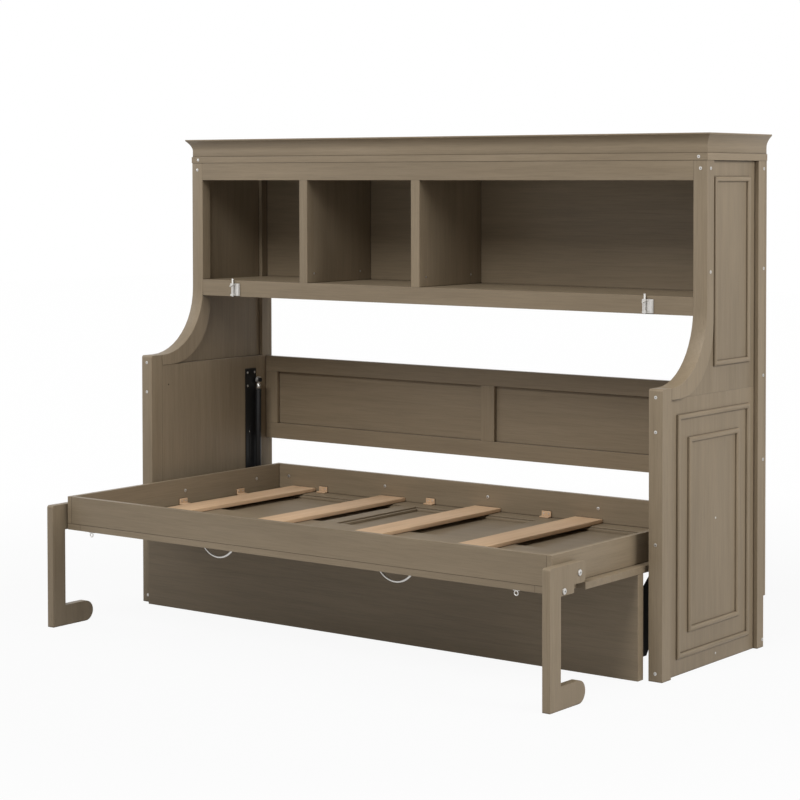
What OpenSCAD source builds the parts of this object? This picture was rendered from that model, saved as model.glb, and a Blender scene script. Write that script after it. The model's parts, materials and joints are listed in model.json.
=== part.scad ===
// Wall bed with a fixed desk board, shown with the bed folded down.
// Y runs towards the wall. Sizes are taken from the wall plane and the middle of the width,
// and place() moves them so that the origin is at the middle of the footprint.

/* [Cabinet] */
// Width over the side posts
cab_w = 2160; // [1900:1:2400]
// Height of the posts, up to the frieze
post_h = 1561; // [1480:1:1700]
// Depth of the upper part
upper_d = 375; // [340:1:420]
// Depth of the lower part
lower_d = 635; // [600:1:680]
// Width of the posts, seen from the front
post_w = 48; // [40:1:56]
// Depth of the front posts
front_post_d = 52; // [40:1:60]
// Height of the front posts over the lower side panels
post_over = 36; // [18:1:60]
// Depth of the back posts
back_post_d = 41; // [30:1:50]
// Thickness of the strips behind the back posts
strip_t = 12; // [8:1:18]
// Height of the notch over a skirting board
notch_h = 165; // [100:1:220]
// Thickness of the lower side panels
lower_side_t = 33; // [18:1:40]
// Height of the lower side panels
lower_side_h = 842; // [800:1:858]
// Thickness of the upper side panels
upper_side_t = 18; // [12:1:24]
// Setback of the side panels from the outer face of the posts
side_set = 15; // [12:1:18]

/* [Curved stiles] */
// Width of the curved stiles
stile_w = 50; // [42:1:60]
// Depth of the straight part of the stiles
stile_d = 40; // [30:1:50]
// Height of the front curve over the front posts
curve_h = 232; // [180:1:280]
// Height of the back curve over the lower side panels
back_curve_h = 218; // [160:1:260]
// Length of the stile's foot on the lower side panel
stile_foot = 53; // [40:1:60]

/* [Shelf cabinet] */
// Height of the top rail
top_rail_h = 62; // [40:1:90]
// Height of the shelf
shelf_z = 1139; // [1120:1:1160]
// Thickness of the shelf and the top board
board_t = 18; // [15:1:25]
// Thickness of the front rails
rail_t = 20; // [16:1:28]
// Thickness of the upper back panel
back_t = 12; // [9:1:16]
// Thickness of the dividers
divider_t = 36; // [18:1:40]
// Middle of the left divider, to the left of the centre
divider_left_x = 549; // [450:1:700]
// Middle of the middle divider, to the left of the centre
divider_mid_x = 53; // [0:1:120]

/* [Cornice] */
// Height of the frieze
frieze_h = 22; // [16:1:30]
// Projection of the frieze
frieze_out = 1.5; // [1:0.5:4]
// Height of the crown moulding
crown_h = 62; // [50:1:80]
// Projection of the crown moulding
crown_out = 18; // [12:1:30]
// Thickness of the frieze and crown boards
crown_t = 20; // [16:1:28]

/* [Side mouldings] */
// Width of a moulding
trim_w = 16; // [12:1:20]
// Projection of a moulding
trim_t = 9; // [6:1:11]
// Gap between a frame and the lower or upper edge of its panel
trim_edge = 50; // [40:1:66]
// Gap between the lower frame and the front post
trim_front = 53; // [30:1:66]
// Gap between a frame and the back post
trim_back = 36; // [20:1:50]
// Gap between the upper frame and the curved stile
trim_stile = 23; // [8:1:40]
// Height of the upper frame over the lower side panel
trim_lift = 82; // [60:1:110]
// Gap between the outer and the inner frame, at the side and above
trim_step = 50; // [36:1:60]
trim_rise = 57; // [36:1:66]

/* [Backboard] */
// Height of the backboard's lower edge
bb_z = 531; // [520:1:600]
// Height of the backboard
bb_h = 308; // [260:1:330]
// Thickness of the backboard's frame
bb_t = 22; // [18:1:26]
// Width of its rails and stiles
bb_rail = 57; // [40:1:70]
// Thickness of its panels
bb_panel_t = 9; // [6:1:12]

/* [Bed] */
// Gap between the bed frame and the posts
bed_side = 46; // [44:1:60]
// Distance of the bed's front edge from the wall
bed_front = 1080; // [1040:1:1120]
// Distance of the bed's back edge from the wall
bed_back = 14; // [10:1:30]
// Height of the bed's underside
bed_z = 324; // [300:1:335]
// Thickness of the bed's floor
floor_t = 21; // [18:1:26]
// Thickness of the thin panels in the floor
field_t = 9; // [6:1:12]
// Height of the bed rails
bed_rail_h = 91; // [80:1:100]
// Thickness of the bed rails
bed_rail_t = 18; // [15:1:24]
// Projection of the floor beyond the end rails
ledge_w = 32; // [28:1:34]
// Number of slats
slat_n = 5; // [4:1:7]
// Distance from the end of the bed to the middle of the first slat
slat_inset = 142; // [120:1:200]
// Width of a slat
slat_w = 112; // [80:1:130]
// Thickness of a slat
slat_t = 14; // [10:1:18]

/* [Desk] */
// Thickness of the desk board
desk_t = 30; // [22:1:36]
// Gap between the desk board and the floor
desk_lift = 3; // [2:1:12]
// Gap between the desk board and the front posts
desk_gap = 6; // [4:1:12]
// Thickness of the steel braces
brace_t = 4; // [3:1:6]

/* [Legs] */
// Thickness of a leg
leg_t = 27; // [20:1:28]
// Width of a leg's post
leg_w = 55; // [45:1:65]
// Distance of a leg's front edge from the bed's front edge
leg_over = 60; // [50:1:66]
// Length of a leg's arm and foot
leg_length = 180; // [170:1:190]
// Height of a leg's foot
foot_h = 68; // [50:1:80]
// Height of a leg's arm
arm_h = 62; // [50:1:66]

/* [Hidden] */

// Overrun of the cuts, and the facets of curves
cut = 1;
$fn = 48;
arc_steps = 12;

// Outline of the cabinet
front_post_h = lower_side_h + post_over;
curve_z = front_post_h + curve_h;
back_curve_z = lower_side_h + back_curve_h;
open_z = post_h - top_rail_h;
half_w = cab_w / 2;
post_in = half_w - post_w;
stile_in = half_w - stile_w;
side_out = half_w - side_set;
foot_y = -(lower_d - front_post_d);
back_post_y = -(strip_t + back_post_d);
rail_back = -(upper_d - rail_t);
inner_back = -(strip_t + back_t);

// Bed heights, and the folding axis that lets the closed bed stand in the cabinet
bed_half = post_in - bed_side;
bed_l = 2 * bed_half;
slat_pitch = (bed_l - 2 * slat_inset) / (slat_n - 1);
bed_y0 = -bed_front;
bed_y1 = -bed_back;
rail_z = bed_z + floor_t;
bed_top = rail_z + bed_rail_h;
closed_lift = 6;
face_set = 2;
pivot_sum = closed_lift - bed_back;
pivot_dif = -(upper_d - face_set) - bed_z;
pivot_y = (pivot_sum + pivot_dif) / 2;
pivot_z = (pivot_sum - pivot_dif) / 2;
swing_gap = 4;
swing_r = norm([bed_y0 - pivot_y, bed_top - pivot_z]);
shelf_rail_z = pivot_z + swing_r + swing_gap;

// Places of the legs
leg_gap = 8;
leg_x = bed_half + leg_gap;
leg_y0 = bed_y0 - leg_over;
arm_r = arm_h / 2;
arm_gap = 3;
arm_z = rail_z + arm_gap;
leg_pivot_y = leg_y0 + leg_length - arm_r;
leg_pivot_z = arm_z + arm_r;
ledge_front = leg_y0 + leg_length + arm_gap + face_set;
ledge_back = foot_y + front_post_d / 2;
total_d = -leg_y0;

// Pins and their running clearance
run_gap = 0.05;
pin_r = 8;
boss_r = 15;
plate_t = 4;
leg_pin_r = 6;
head_r = 9;
head_t = 3;

// Gas struts
strut_y = -96;
strut_z = 754;
stud_y = -100;
stud_z = 340;
tube_r = 11;
bore_r = 8;
rod_r = 5;
eye_r = 12;
eye_t = 10;
eye_pin_r = 5;
neck_l = 36;
end_t = 8;
piston_t = 6;
seal_gap = 0.3;
strut_x = post_in - plate_t - tube_r - plate_t;
strut_l = norm([strut_y - stud_y, strut_z - stud_z]);
closed_stud = [pivot_y + stud_z - pivot_z, pivot_z - stud_y + pivot_y];
strut_stroke = norm([strut_y, strut_z] - closed_stud) - strut_l;
tube_l = strut_stroke + piston_t + 2 * end_t + 2 * head_t;

// Latches
latch_in = 162;
latch_x = stile_in - latch_in;
latch_w = 40;
latch_h = 44;
bolt_r = 3.5;
bolt_off = 8;
bolt_l = 64;
guide_h = 6;
knob_r = 2.5;

// Desk board
desk_half = bed_half + ledge_w;
desk_y1 = -(lower_d + desk_gap);
desk_y0 = desk_y1 - desk_t;

// Colours
oak = [0.53, 0.47, 0.39];
slat_colour = [0.74, 0.55, 0.38];
steel = [0.75, 0.75, 0.74];
black = [0.06, 0.06, 0.06];

// Moves a piece from the wall frame to the frame of the part
module place() {
    translate([0, total_d / 2, 0])
        children();
}

// Shows a piece on the right, or mirrored on the left
module side(s) {
    mirror([s < 0 ? 1 : 0, 0, 0])
        children();
}

// Box between two corners
module board(a, b) {
    translate(a)
        cube(b - a);
}

// Outline in Y and Z, drawn out along X from x0
module plate_yz(x0, t) {
    translate([x0, 0, 0])
        rotate([90, 0, 90])
            linear_extrude(t)
                children();
}

// Round bar along X between two places
module bar_x(r, x0, x1, y, z) {
    translate([x0, y, z])
        rotate([0, 90, 0])
            cylinder(r = r, h = x1 - x0);
}

// Points of a quarter ellipse that is hollow towards the front and the top
function cove(cy, cz, ry, rz) =
    [for (i = [0 : arc_steps]) [cy + ry * cos(90 * i / arc_steps), cz - rz * sin(90 * i / arc_steps)]];
function backwards(p) = [for (i = [len(p) - 1 : -1 : 0]) p[i]];

front_curve = cove(foot_y, curve_z, -upper_d - foot_y, curve_z - front_post_h);
back_curve = cove(foot_y + stile_foot, back_curve_z,
    stile_d - upper_d - foot_y - stile_foot, back_curve_z - lower_side_h);

// Posts
module front_post(s) {
    edge_r = 8;
    color(oak) place() side(s) plate_yz(post_in, post_w) difference() {
        translate([-lower_d, 0])
            square([front_post_d, front_post_h]);
        translate([-lower_d, front_post_h - edge_r])
            difference() {
                translate([-cut, 0])
                    square([edge_r + cut, edge_r + cut]);
                translate([edge_r, 0])
                    circle(edge_r);
            }
    }
}

module curved_stile(s) {
    color(oak) place() side(s) plate_yz(stile_in, stile_w)
        polygon(concat([[-upper_d, post_h]], front_curve,
            [[foot_y, lower_side_h]], backwards(back_curve), [[stile_d - upper_d, post_h]]));
}

module back_post(s) {
    color(oak) place() side(s) board([post_in, back_post_y, 0], [half_w, -strip_t, post_h]);
}

module back_strip(s) {
    color(oak) place() side(s) board([post_in, -strip_t, notch_h], [half_w, 0, post_h]);
}

// Side panels
module lower_side(s) {
    color(oak) place() side(s)
        board([side_out - lower_side_t, foot_y, 0], [side_out, back_post_y, lower_side_h]);
}

module upper_side(s) {
    color(oak) place() side(s) plate_yz(side_out - upper_side_t, upper_side_t)
        polygon(concat([[stile_d - upper_d, post_h]], back_curve,
            [[back_post_y, lower_side_h], [back_post_y, post_h]]));
}

// Section of a moulding: a bead on a flat base, x inwards from its outer edge
module trim_section() {
    base_t = trim_t / 3;
    polygon(concat([[0, 0]],
        [for (i = [0 : arc_steps])
            [trim_w / 2 * (1 - cos(180 * i / arc_steps)),
            base_t + (trim_t - base_t) * sin(180 * i / arc_steps)]],
        [[trim_w, 0]]));
}

// Straight moulding along X, mitred at both ends
module trim_bar(l) {
    intersection() {
        rotate([90, 0, 90])
            linear_extrude(l)
                trim_section();
        linear_extrude(trim_t)
            polygon([[0, 0], [l, 0], [l - trim_w, trim_w], [trim_w, trim_w]]);
    }
}

// Frame of mouldings between two corners in Y and Z
module moulding(a, b) {
    size = b - a;
    translate([side_out, 0, 0])
        rotate([90, 0, 90]) {
            translate([a[0], a[1], 0])
                trim_bar(size[0]);
            translate([b[0], a[1], 0])
                rotate([0, 0, 90])
                    trim_bar(size[1]);
            translate([b[0], b[1], 0])
                rotate([0, 0, 180])
                    trim_bar(size[0]);
            translate([a[0], b[1], 0])
                rotate([0, 0, 270])
                    trim_bar(size[1]);
        }
}

module side_mouldings(s) {
    low_a = [foot_y + trim_front, trim_edge];
    low_b = [back_post_y - trim_back, lower_side_h - trim_edge];
    inset = [trim_w + trim_step, trim_w + trim_rise];
    up_a = [-upper_d + stile_d + trim_stile, lower_side_h + trim_lift];
    up_b = [back_post_y - trim_back, post_h - trim_edge];
    color(oak) place() side(s) {
        moulding(low_a, low_b);
        moulding(low_a + inset, low_b - inset);
        moulding(up_a, up_b);
    }
}

// Shelf cabinet
module top_rail() {
    color(oak) place() board([-stile_in, -upper_d, open_z], [stile_in, rail_back, post_h]);
}

module shelf_rail() {
    color(oak) place() board([-stile_in, -upper_d, shelf_rail_z], [stile_in, rail_back, shelf_z]);
}

module shelf_board() {
    color(oak) place()
        board([-stile_in, rail_back, shelf_z - board_t], [stile_in, inner_back, shelf_z]);
}

module top_board() {
    color(oak) place()
        board([-stile_in, rail_back, post_h - board_t], [stile_in, inner_back, post_h]);
}

module upper_back_panel() {
    color(oak) place()
        board([-post_in, inner_back, shelf_rail_z], [post_in, -strip_t, post_h]);
}

module divider(x) {
    color(oak) place() translate([-x, 0, 0]) {
        board([-divider_t / 2, -upper_d, shelf_z], [divider_t / 2, inner_back, open_z]);
        board([-divider_t / 2, rail_back, open_z], [divider_t / 2, inner_back, post_h - board_t]);
    }
}

// Cornice, mitred at the front corners
corner_sum = half_w - upper_d;
crown_in = -(upper_d - crown_t);
crown_y = -(upper_d + crown_out + cut);
function mitre_x(y) = corner_sum - y;

module front_plan() {
    polygon([[-mitre_x(crown_in), crown_in], [mitre_x(crown_in), crown_in],
        [mitre_x(crown_y), crown_y], [-mitre_x(crown_y), crown_y]]);
}

module side_plan() {
    polygon([[mitre_x(crown_in), crown_in], [mitre_x(crown_y), crown_y],
        [mitre_x(crown_y), 0], [mitre_x(crown_in), 0]]);
}

// Section of the crown: x is the projection, y the height
module crown_section() {
    foot = crown_h / 3;
    lip = crown_h / 14;
    rise = crown_h - foot - lip;
    first = -frieze_out;
    polygon(concat([[-crown_t, 0], [first, 0]],
        [for (i = [0 : arc_steps])
            [first + (crown_out - first) * (1 - cos(90 * i / arc_steps)),
            foot + rise * sin(90 * i / arc_steps)]],
        [[crown_out, crown_h], [-crown_t, crown_h]]));
}

module frieze() {
    color(oak) place() translate([0, 0, post_h]) difference() {
        board([-half_w - frieze_out, -upper_d - frieze_out, 0], [half_w + frieze_out, 0, frieze_h]);
        board([-half_w + crown_t, crown_in, -cut], [half_w - crown_t, -crown_t, frieze_h + cut]);
    }
}

module crown_front() {
    color(oak) place() translate([0, 0, post_h + frieze_h]) intersection() {
        translate([-cab_w, -upper_d, 0])
            rotate([90, 0, 90])
                linear_extrude(2 * cab_w)
                    mirror([1, 0])
                        crown_section();
        linear_extrude(crown_h)
            front_plan();
    }
}

module crown_return(s) {
    color(oak) place() side(s) translate([0, 0, post_h + frieze_h]) intersection() {
        translate([half_w, 0, 0])
            rotate([90, 0, 0])
                linear_extrude(2 * lower_d)
                    crown_section();
        linear_extrude(crown_h)
            side_plan();
    }
}

// Backboard of rails, stiles and thin panels
bb_y0 = -(strip_t + bb_t);
bb_top = bb_z + bb_h;
field_w = (2 * post_in - 3 * bb_rail) / 2;

module backboard_rails() {
    color(oak) place()
        for (z = [bb_z, bb_top - bb_rail])
            board([-post_in, bb_y0, z], [post_in, -strip_t, z + bb_rail]);
}

module backboard_stiles() {
    color(oak) place()
        for (x = [-post_in, -bb_rail / 2, post_in - bb_rail])
            board([x, bb_y0, bb_z + bb_rail], [x + bb_rail, -strip_t, bb_top - bb_rail]);
}

module backboard_panels() {
    color(oak) place()
        for (x = [-bb_rail / 2 - field_w, bb_rail / 2])
            board([x, -strip_t - bb_panel_t, bb_z + bb_rail], [x + field_w, -strip_t, bb_top - bb_rail]);
}

// Steel plate with the folding pin, on the lower side panel
module pivot_plate(s) {
    plate_r = 60;
    color(black) place() side(s) {
        bar_x(plate_r, post_in - plate_t, post_in, pivot_y, pivot_z);
        bar_x(pin_r, bed_half + plate_t + run_gap, post_in - plate_t / 2, pivot_y, pivot_z);
    }
}

// Plate on the bed's end with the boss that turns on the folding pin
module bed_hinge(s) {
    plate_l = 130;
    plate_low = 14;
    stud_r = 6;
    stud_plate = 18;
    color(black) place() side(s) {
        difference() {
            union() {
                board([bed_half, pivot_y - plate_l / 2, bed_z + plate_low],
                    [bed_half + plate_t, pivot_y + plate_l / 2, bed_top - plate_low]);
                bar_x(boss_r, bed_half + plate_t / 2, post_in - 3 * plate_t, pivot_y, pivot_z);
            }
            bar_x(pin_r + run_gap, bed_half + plate_t, post_in, pivot_y, pivot_z);
        }
        bar_x(stud_plate, bed_half, bed_half + plate_t, stud_y, stud_z + head_t);
        bar_x(stud_r, bed_half + plate_t / 2, strut_x - eye_t / 2 - 2 * seal_gap, stud_y, stud_z);
    }
}

// Plate that carries the upper end of the gas strut
module strut_plate(s) {
    edge_w = 52;
    reach = 3;
    low_z = 420;
    high = 43;
    rib_w = 8;
    rib_t = 2;
    color(black) place() side(s) {
        board([post_in - plate_t, strut_y - edge_w, low_z], [post_in, strut_y + reach, strut_z + high]);
        board([post_in - plate_t - rib_t, strut_y - edge_w / 2 - rib_w, low_z + high],
            [post_in - plate_t, strut_y - edge_w / 2, low_z + tube_l / 2]);
        bar_x(eye_pin_r, strut_x - eye_t / 2 - head_t, post_in - plate_t / 2, strut_y, strut_z);
        bar_x(eye_pin_r + head_t, strut_x - eye_t / 2 - 2 * head_t, strut_x - eye_t / 2 - seal_gap,
            strut_y, strut_z);
    }
}

// Gas strut, drawn along its own axis, with Z up from the upper pin
strut_turn = atan((strut_y - stud_y) / (strut_z - stud_z));

module on_strut(s) {
    place() side(s) translate([strut_x, strut_y, strut_z]) rotate([-strut_turn, 0, 0]) children();
}

module eye(z, hole_r) {
    translate([0, 0, z])
        rotate([0, 90, 0])
            difference() {
                cylinder(r = eye_r, h = eye_t, center = true);
                cylinder(r = hole_r, h = eye_t + 2 * cut, center = true);
            }
}

module strut_tube(s) {
    color(black) on_strut(s) {
        eye(0, eye_pin_r + run_gap);
        translate([0, 0, -neck_l - cut])
            cylinder(r = rod_r, h = neck_l - eye_r + 2 * cut);
        rotate_extrude()
            polygon([[0, -neck_l], [tube_r, -neck_l], [tube_r, -neck_l - tube_l],
                [rod_r + run_gap, -neck_l - tube_l], [rod_r + run_gap, -neck_l - tube_l + end_t],
                [bore_r, -neck_l - tube_l + end_t], [bore_r, -neck_l - end_t], [0, -neck_l - end_t]]);
    }
}

module strut_rod(s) {
    rod_top = -neck_l - end_t - head_t;
    color(steel) on_strut(s) {
        eye(-strut_l, leg_pin_r);
        translate([0, 0, -strut_l + eye_r - cut])
            cylinder(r = rod_r, h = strut_l - eye_r + cut + rod_top);
        translate([0, 0, rod_top - piston_t])
            cylinder(r = bore_r - seal_gap, h = piston_t);
    }
}

// Barrel latches on the shelf rail
latch_top = shelf_rail_z + latch_h + head_t;
bolt_y = -(upper_d + head_t + bolt_r + run_gap + head_t / 2);

module latch_case(s) {
    guide_w = 14;
    color(steel) place() translate([s * latch_x, 0, 0]) difference() {
        union() {
            board([-latch_w / 2, -upper_d - head_t, shelf_rail_z + head_t], [latch_w / 2, -upper_d, latch_top]);
            for (z = [shelf_rail_z + head_t, latch_top - guide_h])
                board([-bolt_off - guide_w / 2, bolt_y - bolt_r - head_t / 2, z],
                    [-bolt_off + guide_w / 2, -upper_d - head_t / 2, z + guide_h]);
            board([bolt_off, -upper_d - 2 * head_t, shelf_rail_z + head_t],
                [latch_w / 2 - head_t, -upper_d - head_t / 2, latch_top]);
        }
        translate([-bolt_off, bolt_y, shelf_rail_z - cut])
            cylinder(r = bolt_r + run_gap, h = latch_h + 3 * head_t);
    }
}

module latch_bolt(s) {
    knob_l = 14;
    color(steel) place() translate([s * latch_x - bolt_off, bolt_y, 0]) {
        translate([0, 0, shelf_rail_z])
            cylinder(r = bolt_r, h = bolt_l);
        translate([0, 0, latch_top - guide_h - knob_r - seal_gap])
            rotate([90, 0, 0])
                cylinder(r = knob_r, h = knob_l);
    }
}

// Bed frame
module bed_front_rail() {
    x = bed_half - bed_rail_t;
    color(oak) place() board([-x, bed_y0, rail_z], [x, bed_y0 + bed_rail_t, bed_top]);
}

module bed_back_rail() {
    x = bed_half - bed_rail_t;
    color(oak) place() board([-x, bed_y1 - bed_rail_t, rail_z], [x, bed_y1, bed_top]);
}

module bed_end_rail(s) {
    bore_l = bed_rail_t + 2 * cut;
    color(oak) place() side(s) difference() {
        board([bed_half - bed_rail_t, bed_y0, rail_z], [bed_half, bed_y1, bed_top]);
        bar_x(leg_pin_r + run_gap, bed_half - bed_rail_t - cut, bed_half - bed_rail_t - cut + bore_l,
            leg_pivot_y, leg_pivot_z);
    }
}

// Floor of the bed: a frame with six fields, and a thin panel with a lip in each.
// Its middle rail stands over the desk board.
floor_edge = 90;
floor_mid = 124;
column_rail = 60;
mid_field = 520;
floor_cols = [[-bed_half + floor_edge, -mid_field / 2 - column_rail], [-mid_field / 2, mid_field / 2],
    [mid_field / 2 + column_rail, bed_half - floor_edge]];
floor_rows = [[bed_y0 + floor_edge, desk_y0], [desk_y0 + floor_mid, bed_y1 - floor_edge]];

module bed_floor() {
    color(oak) place() difference() {
        union() {
            board([-bed_half, bed_y0, bed_z], [bed_half, bed_y1, rail_z]);
            board([-desk_half, ledge_front, bed_z], [desk_half, ledge_back, rail_z]);
        }
        for (c = floor_cols, r = floor_rows)
            board([c[0], r[0], bed_z - cut], [c[1], r[1], rail_z + cut]);
    }
}

module floor_panels() {
    panel_z = bed_z + field_t / 3;
    lip_z = panel_z + field_t;
    lip_w = 14;
    lip_h = 4;
    color(oak) place()
        for (c = floor_cols, r = floor_rows) {
            board([c[0], r[0], panel_z], [c[1], r[1], lip_z]);
            difference() {
                board([c[0], r[0], lip_z - cut], [c[1], r[1], lip_z + lip_h]);
                board([c[0] + lip_w, r[0] + lip_w, lip_z - 2 * cut],
                    [c[1] - lip_w, r[1] - lip_w, lip_z + lip_h + cut]);
            }
        }
}

module slats() {
    y0 = bed_y0 + bed_rail_t + seal_gap;
    y1 = bed_y1 - bed_rail_t - seal_gap;
    color(slat_colour) place()
        for (i = [0 : slat_n - 1]) {
            x = (i - (slat_n - 1) / 2) * slat_pitch;
            board([x - slat_w / 2, y0, rail_z], [x + slat_w / 2, y1, rail_z + slat_t]);
        }
}

// Wooden angles that join the rails to the floor
block_w = 38;
block_h = 22;
block_foot = 20;
block_t = 5;
block_share = [-0.38, -0.127, 0.127, 0.38];
end_share = [0.21, 0.5, 0.79];

module rail_angle() {
    translate([-block_w / 2, 0, 0]) {
        cube([block_w, block_t, block_h]);
        cube([block_w, block_foot, block_t]);
    }
}

module rail_blocks() {
    y_front = bed_y0 + bed_rail_t;
    y_back = bed_y1 - bed_rail_t;
    color(slat_colour) place() {
        for (a = block_share) {
            translate([a * bed_l, y_back, rail_z])
                rotate([0, 0, 180])
                    rail_angle();
            translate([a * bed_l, y_front, rail_z])
                rail_angle();
        }
        for (s = [-1, 1], a = end_share)
            side(s)
                translate([bed_half - bed_rail_t, y_front + a * (y_back - y_front), rail_z])
                    rotate([0, 0, 90])
                        rail_angle();
    }
}

// Bow handles near the front edge of the underside
handle_share = 0.37;
handle_in = 71;
module pull_handles() {
    span = 140;
    bow = 43;
    wire_r = 3.5;
    bow_r = (span * span / 4 + bow * bow) / (2 * bow);
    half_turn = asin(span / 2 / bow_r);
    color(steel) place()
        for (s = [-1, 1])
            translate([s * handle_share * bed_half, bed_y0 + handle_in, bed_z])
                intersection() {
                    translate([0, 0, bow_r - bow + wire_r])
                        rotate([90, 0, 0])
                            rotate([0, 0, 270 - half_turn])
                                rotate_extrude(angle = 2 * half_turn)
                                    translate([bow_r, 0])
                                        circle(wire_r);
                    translate([-span, -bow, -2 * bow])
                        cube([2 * span, 2 * bow, 2 * bow]);
                }
}

// Steel angles under the front edge that take the latch bolts
module latch_strikes() {
    plate_l = 22;
    hole_z = bed_z + upper_d - face_set + bolt_y;
    color(steel) place()
        for (s = [-1, 1])
            translate([s * latch_x - bolt_off, bed_y0 + face_set, 0])
                difference() {
                    union() {
                        board([-plate_l / 2, 0, bed_z - head_t], [plate_l / 2, plate_l, bed_z]);
                        board([-plate_l / 2, 0, hole_z - 2 * bolt_r - head_t],
                            [plate_l / 2, head_t, bed_z - head_t]);
                    }
                    translate([0, -cut, hole_z])
                        rotate([-90, 0, 0])
                            cylinder(r = bolt_r + 2 * seal_gap, h = plate_l);
                }
}

// Desk board, square to the bed's underside, and its steel braces
module desk_board() {
    color(oak) place() board([-desk_half, desk_y0, desk_lift], [desk_half, desk_y1, bed_z]);
}

brace_in = 10;
brace_flange = 30;
brace_low = 57;
brace_h = 160;
brace_reach = 130;
brace_foot = 80;

module desk_braces() {
    color(black) place()
        for (s = [-1, 1])
            side(s) {
                plate_yz(bed_half - brace_in, brace_t)
                    polygon([[desk_y1, brace_low], [desk_y1, brace_low + brace_h],
                        [desk_y1 + brace_reach, bed_z], [desk_y1 + 2 * brace_reach, bed_z],
                        [desk_y1 + brace_foot, brace_low]]);
                board([bed_half - brace_in - brace_flange, desk_y1, brace_low],
                    [bed_half - brace_in, desk_y1 + brace_t, brace_low + brace_h]);
                board([bed_half - brace_in - brace_flange, desk_y1 + brace_reach, bed_z - brace_t],
                    [bed_half - brace_in, desk_y1 + 2 * brace_reach, bed_z]);
            }
}

// Flat legs with an arm at the top, a web under it and a rounded foot
leg_corner_r = 8;
arm_corner_r = 12;
web_l = 67;
lock_in = 15;
lock_up = 13;
lock_y = leg_y0 + leg_w + lock_in;
lock_z = bed_z + lock_up;

module leg_outline() {
    foot_r = foot_h / 2;
    arm_end = leg_y0 + leg_length;
    arm_top = arm_z + arm_h;
    translate([leg_y0, 0])
        square([leg_w, arm_top - leg_corner_r]);
    translate([leg_y0 + leg_corner_r, arm_z])
        square([leg_length - leg_corner_r - arm_corner_r, arm_h]);
    translate([leg_y0 + leg_corner_r, arm_top - leg_corner_r])
        circle(leg_corner_r);
    translate([arm_end - 2 * arm_corner_r, arm_z + arm_corner_r])
        square([2 * arm_corner_r, arm_h - 2 * arm_corner_r]);
    for (z = [arm_z + arm_corner_r, arm_top - arm_corner_r])
        translate([arm_end - arm_corner_r, z])
            circle(arm_corner_r);
    translate([leg_y0 + leg_w - cut, bed_z])
        square([web_l + cut, arm_z - bed_z + cut]);
    translate([leg_y0, 0])
        square([leg_length - foot_r, foot_h]);
    translate([leg_y0 + leg_length - foot_r, foot_r])
        circle(foot_r);
}

module leg(s) {
    color(oak) place() side(s) difference() {
        plate_yz(leg_x, leg_t)
            leg_outline();
        bar_x(leg_pin_r + run_gap, leg_x - cut, leg_x + leg_t + cut, leg_pivot_y, leg_pivot_z);
        bar_x(leg_pin_r + run_gap, leg_x + leg_t / 2, leg_x + leg_t + cut, lock_y, lock_z);
    }
}

// Bolts that the legs turn on, with a washer between leg and rail
module leg_bolts() {
    color(steel) place()
        for (s = [-1, 1])
            side(s) {
                bar_x(leg_pin_r, bed_half - bed_rail_t, leg_x + leg_t + cut, leg_pivot_y, leg_pivot_z);
                bar_x(head_r, leg_x + leg_t + run_gap, leg_x + leg_t + head_t, leg_pivot_y, leg_pivot_z);
                bar_x(2 * head_r, bed_half, leg_x - run_gap, leg_pivot_y, leg_pivot_z);
            }
}

module lock_bolt(s) {
    color(steel) place() side(s) {
        bar_x(leg_pin_r, leg_x + leg_t / 2, leg_x + leg_t + cut, lock_y, lock_z);
        bar_x(head_r, leg_x + leg_t, leg_x + leg_t + head_t, lock_y, lock_z);
    }
}

// Round bolt heads on the outside of the cabinet
bolt_head_r = 6;
bolt_head_t = 1.2;
bolt_edge = 25;
front_share = [0.469, 0.853];
back_share = [0.388, 0.561, 0.78];

module head_front(x, y, z) {
    translate([x, y, z])
        rotate([90, 0, 0])
            cylinder(r = bolt_head_r, h = bolt_head_t);
}

module cabinet_bolts() {
    post_x = half_w - post_w / 2;
    top_z = post_h - bolt_edge;
    color(steel) place()
        for (s = [-1, 1])
            side(s) {
                for (z = concat([bolt_edge, front_post_h - bolt_edge], front_share * front_post_h))
                    head_front(post_x, -lower_d, z);
                for (z = concat([bolt_edge, top_z], back_share * post_h))
                    bar_x(bolt_head_r, half_w, half_w + bolt_head_t, -strip_t - bolt_head_r - cut, z);
                for (z = [back_share[2] * post_h, top_z])
                    bar_x(bolt_head_r, half_w, half_w + bolt_head_t, -upper_d + stile_d / 2, z);
                head_front(half_w - bolt_edge, -upper_d, top_z);
                head_front(half_w - bolt_edge - bolt_head_r, -upper_d - frieze_out, post_h + frieze_h / 2);
            }
}

front_post(-1);  // front_post_left
front_post(1);  // front_post_right
curved_stile(-1);  // curved_stile_left
curved_stile(1);  // curved_stile_right
back_post(-1);  // back_post_left
back_post(1);  // back_post_right
back_strip(-1);  // back_strip_left
back_strip(1);  // back_strip_right
lower_side(-1);  // lower_side_left
lower_side(1);  // lower_side_right
upper_side(-1);  // upper_side_left
upper_side(1);  // upper_side_right
side_mouldings(-1);  // side_mouldings_left
side_mouldings(1);  // side_mouldings_right
top_rail();
shelf_rail();
shelf_board();
top_board();
upper_back_panel();
divider(divider_left_x);  // left_divider
divider(divider_mid_x);  // middle_divider
frieze();
crown_front();
crown_return(-1);  // crown_left
crown_return(1);  // crown_right
backboard_rails();
backboard_stiles();
backboard_panels();
pivot_plate(-1);  // pivot_plate_left
pivot_plate(1);  // pivot_plate_right
strut_plate(-1);  // strut_plate_left
strut_plate(1);  // strut_plate_right
strut_tube(-1);  // strut_tube_left
strut_tube(1);  // strut_tube_right
strut_rod(-1);  // strut_rod_left
strut_rod(1);  // strut_rod_right
latch_case(-1);  // latch_case_left
latch_case(1);  // latch_case_right
latch_bolt(-1);  // latch_bolt_left
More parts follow.
